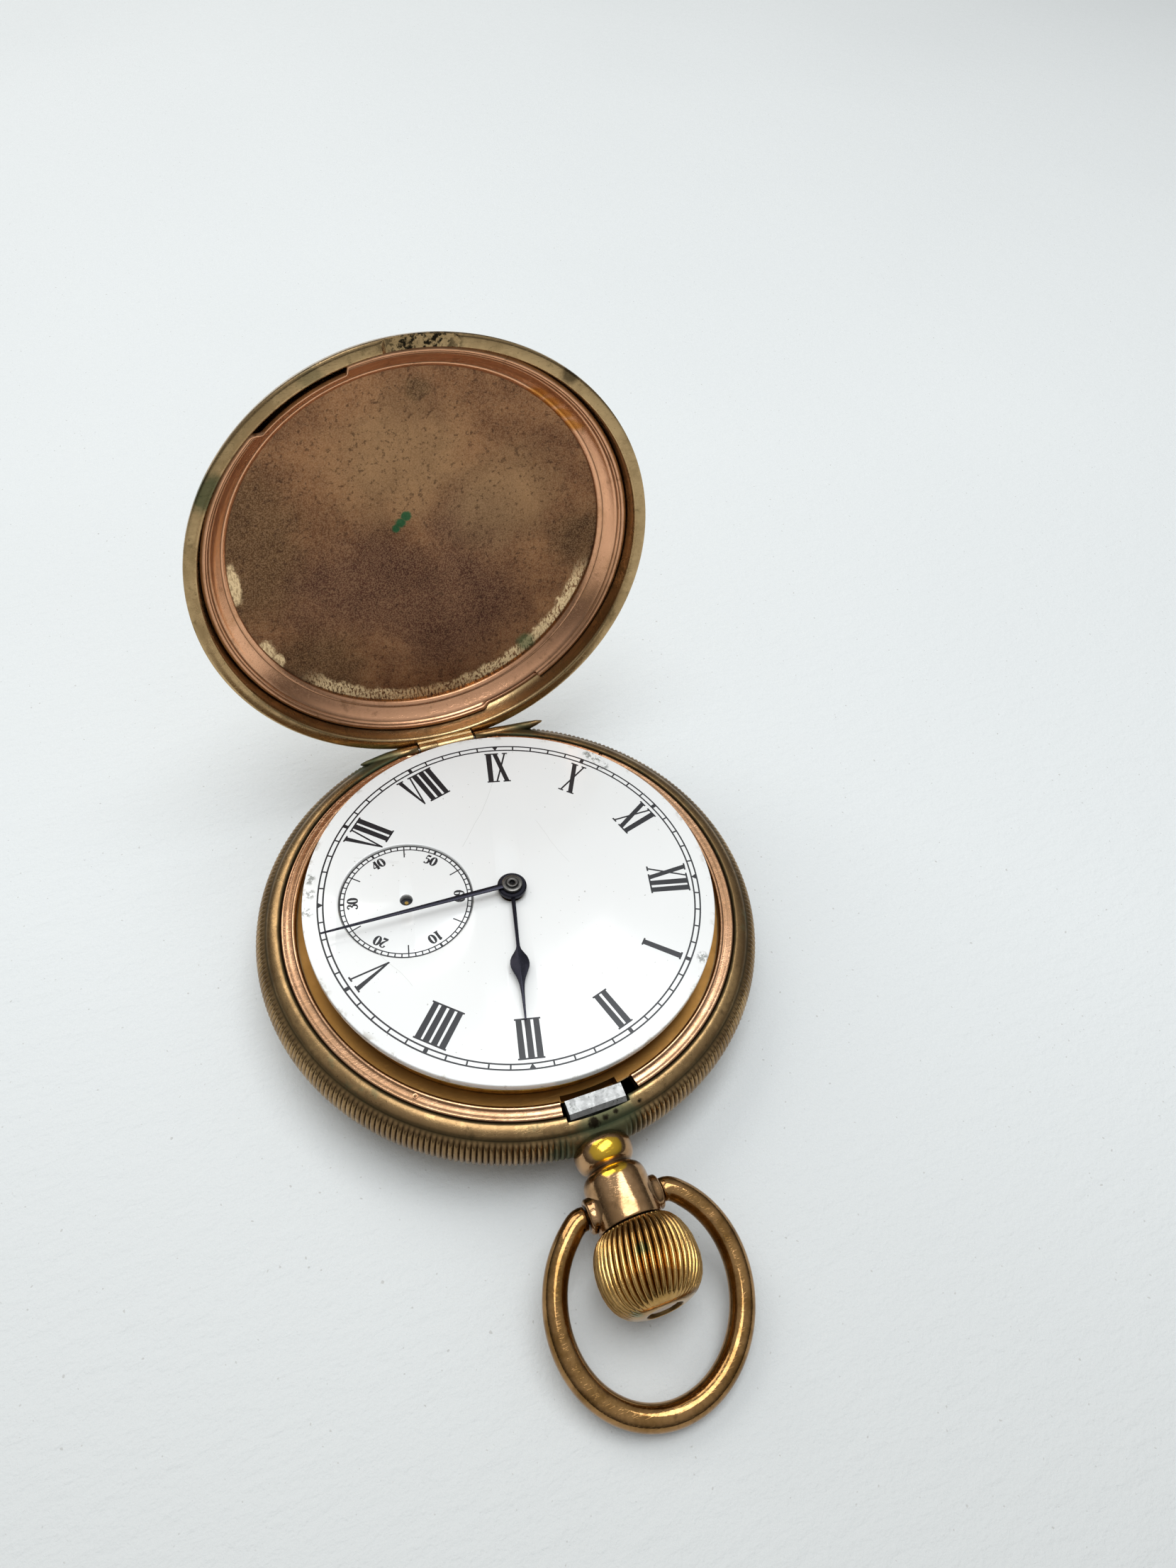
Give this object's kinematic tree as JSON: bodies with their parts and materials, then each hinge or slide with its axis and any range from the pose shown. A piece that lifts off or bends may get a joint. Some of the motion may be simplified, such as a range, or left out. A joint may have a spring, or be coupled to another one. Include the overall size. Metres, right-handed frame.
{
  "type": "hunter pocket watch",
  "caption": "Mechanical pocket watch in a hunting case: hinged front lid standing open over a white dial, fluted winding crown, swinging bow and a geared movement.",
  "frame": {"origin": "centre of the flat disc on the outside of the closed rear cover, on which the watch rests", "axes": "+Z out of the dial, +X along the pendant towards the crown and bow, both case hinges on the -X side"},
  "size_m": [0.0856, 0.0536, 0.0569],
  "materials": {
    "case_brass": "worn satin, tarnished",
    "rose_gold": "polished rose-gold fill",
    "crown_brass": "polished",
    "bow_bronze": "polished",
    "catch_steel": "polished",
    "steel": "satin",
    "blued_steel": "blued, near black",
    "enamel": "gloss",
    "gilt": "gilt",
    "gilt_plate": "frosted gilt"
  },
  "bodies": {
    "case": {"case_center": "case_brass", "seat_ring": "rose_gold", "front_hinge_pin": "steel", "rear_hinge_pin": "steel", "dust_hinge_pin": "steel", "lift_spring": "steel", "lift_spring_screw": "steel", "pendant": "rose_gold", "main_plate": "gilt_plate", "barrel_bridge": "gilt_plate", "train_bridge": "gilt_plate", "pallet_bridge": "gilt_plate", "balance_cock": "gilt_plate", "dial": "enamel", "seconds_dial": "enamel", "case_screw_a": "steel", "case_screw_b": "steel", "barrel_bridge_screw": "steel", "train_bridge_screw": "steel", "balance_cock_screw": "steel", "crown_wheel_screw": "steel", "click_screw": "steel"},
    "front_lid": {"front_lid_shell": "case_brass", "front_lid_ring": "rose_gold"},
    "rear_lid": {"rear_cover": "case_brass"},
    "dust_lid": {"dust_cover": "gilt"},
    "bow_ring": {"bow": "bow_bronze"},
    "crown_push": {"push_sleeve": "steel"},
    "crown_spin": {"crown": "crown_brass", "crown_plug": "crown_brass", "winding_stem": "steel"},
    "lock": {"lock_spring": "catch_steel"},
    "pinion": {"winding_pinion": "steel"},
    "crown_wheel": {"crown_wheel": "steel"},
    "ratchet": {"ratchet_wheel": "steel", "ratchet_screw": "steel", "barrel_arbor": "steel"},
    "barrel_drum": {"barrel": "gilt", "mainspring": "blued_steel"},
    "center": {"center_wheel": "gilt", "cannon_pinion": "steel", "minute_hand": "blued_steel"},
    "minute_work": {"minute_wheel": "gilt"},
    "hour": {"hour_wheel": "gilt", "hour_hand": "blued_steel"},
    "third": {"third_wheel": "gilt"},
    "fourth": {"fourth_wheel": "gilt"},
    "escape": {"escape_wheel": "steel"},
    "fork": {"pallet_fork": "steel"},
    "balance": {"balance_wheel": "gilt", "hairspring": "blued_steel"},
    "regulator_arm": {"regulator": "steel"},
    "click_pawl": {"click": "steel"},
    "setting": {"setting_lever": "steel"}
  },
  "joints": [
    {"name": "front_lid_close", "type": "hinge", "parent": "case", "child": "front_lid", "pos_m": [-0.02415, 0, 0.0086], "axis": [0, 1, 0], "range_deg": [0, 96.9]},
    {"name": "rear_cover_open", "type": "hinge", "parent": "case", "child": "rear_lid", "pos_m": [-0.0251, 0, 0.00295], "axis": [0, 1, 0], "range_deg": [0, 100]},
    {"name": "dust_cover_open", "type": "hinge", "parent": "case", "child": "dust_lid", "pos_m": [-0.023, 0, 0.0034], "axis": [0, 1, 0], "range_deg": [0, 80]},
    {"name": "bow_swing", "type": "hinge", "parent": "case", "child": "bow_ring", "pos_m": [0.0325, 0, 0.0062], "axis": [0, 1, 0], "range_deg": [-105.8, 74.2]},
    {"name": "crown_push", "type": "slide", "parent": "case", "child": "crown_push", "axis": [-1, 0, 0], "range_m": [0, 0.0006], "stiffness_N_per_m": 1500},
    {"name": "lock_release", "type": "slide", "parent": "case", "child": "lock", "axis": [-1, 0, 0], "range_m": [0, 0.0006]},
    {"name": "crown_turn", "type": "hinge", "parent": "crown_push", "child": "crown_spin", "pos_m": [0.036, 0, 0.0062], "axis": [1, 0, 0], "continuous": true},
    {"name": "winding_pinion_turn", "type": "hinge", "parent": "case", "child": "pinion", "pos_m": [0.0166, 0, 0.0062], "axis": [1, 0, 0], "continuous": true},
    {"name": "crown_wheel_turn", "type": "hinge", "parent": "case", "child": "crown_wheel", "pos_m": [0.01305, 0, 0.00475], "axis": [0, 0, 1], "continuous": true},
    {"name": "ratchet_turn", "type": "hinge", "parent": "case", "child": "ratchet", "pos_m": [0.00605, 0.00572, 0.00475], "axis": [0, 0, 1], "continuous": true},
    {"name": "minute_hand_turn", "type": "hinge", "parent": "case", "child": "center", "pos_m": [0, 0, 0.009], "axis": [0, 0, 1], "continuous": true},
    {"name": "minute_wheel_turn", "type": "hinge", "parent": "case", "child": "minute_work", "pos_m": [0.00195, 0.00338, 0.0095], "axis": [0, 0, 1], "continuous": true},
    {"name": "hour_hand_turn", "type": "hinge", "parent": "case", "child": "hour", "pos_m": [0, 0, 0.01], "axis": [0, 0, 1], "continuous": true},
    {"name": "barrel_turn", "type": "hinge", "parent": "case", "child": "barrel_drum", "pos_m": [0.00605, 0.00572, 0.0075], "axis": [0, 0, 1], "continuous": true},
    {"name": "third_wheel_turn", "type": "hinge", "parent": "case", "child": "third", "pos_m": [-0.0058, -0.0058, 0.0073], "axis": [0, 0, 1], "continuous": true},
    {"name": "fourth_wheel_turn", "type": "hinge", "parent": "case", "child": "fourth", "pos_m": [-0.00247, -0.01072, 0.0067], "axis": [0, 0, 1], "continuous": true},
    {"name": "escape_wheel_turn", "type": "hinge", "parent": "case", "child": "escape", "pos_m": [0.00273, -0.0113, 0.0062], "axis": [0, 0, 1], "continuous": true},
    {"name": "fork_rock", "type": "hinge", "parent": "case", "child": "fork", "pos_m": [0.00597, -0.00986, 0.0062], "axis": [0, 0, 1], "range_deg": [-8, 8]},
    {"name": "balance_swing", "type": "hinge", "parent": "case", "child": "balance", "pos_m": [0.0088, -0.0086, 0.0052], "axis": [0, 0, 1], "range_deg": [-220, 220], "stiffness_Nm_per_rad": 0.0000003},
    {"name": "regulator_set", "type": "hinge", "parent": "case", "child": "regulator_arm", "pos_m": [0.0088, -0.0086, 0.0039], "axis": [0, 0, 1], "range_deg": [-12, 12]},
    {"name": "click_lift", "type": "hinge", "parent": "case", "child": "click_pawl", "pos_m": [0.00784, 0.01238, 0.00475], "axis": [0, 0, 1], "range_deg": [-8, 0], "stiffness_Nm_per_rad": 0.0002},
    {"name": "setting_lever_pull", "type": "slide", "parent": "case", "child": "setting", "axis": [0.3338, -0.9426, 0], "range_m": [0, 0.0016]}
  ],
  "couplings": [
    {"joint": "dust_cover_open", "follows": "rear_cover_open", "ratio": 0.8},
    {"joint": "lock_release", "follows": "crown_push", "ratio": 1},
    {"joint": "winding_pinion_turn", "follows": "crown_turn", "ratio": 1},
    {"joint": "crown_wheel_turn", "follows": "crown_turn", "ratio": 0.3},
    {"joint": "ratchet_turn", "follows": "crown_turn", "ratio": -0.2},
    {"joint": "minute_wheel_turn", "follows": "minute_hand_turn", "ratio": -0.33333},
    {"joint": "hour_hand_turn", "follows": "minute_hand_turn", "ratio": 0.083333},
    {"joint": "barrel_turn", "follows": "minute_hand_turn", "ratio": -0.125},
    {"joint": "third_wheel_turn", "follows": "minute_hand_turn", "ratio": -8},
    {"joint": "fourth_wheel_turn", "follows": "minute_hand_turn", "ratio": 60},
    {"joint": "escape_wheel_turn", "follows": "minute_hand_turn", "ratio": -600}
  ]
}
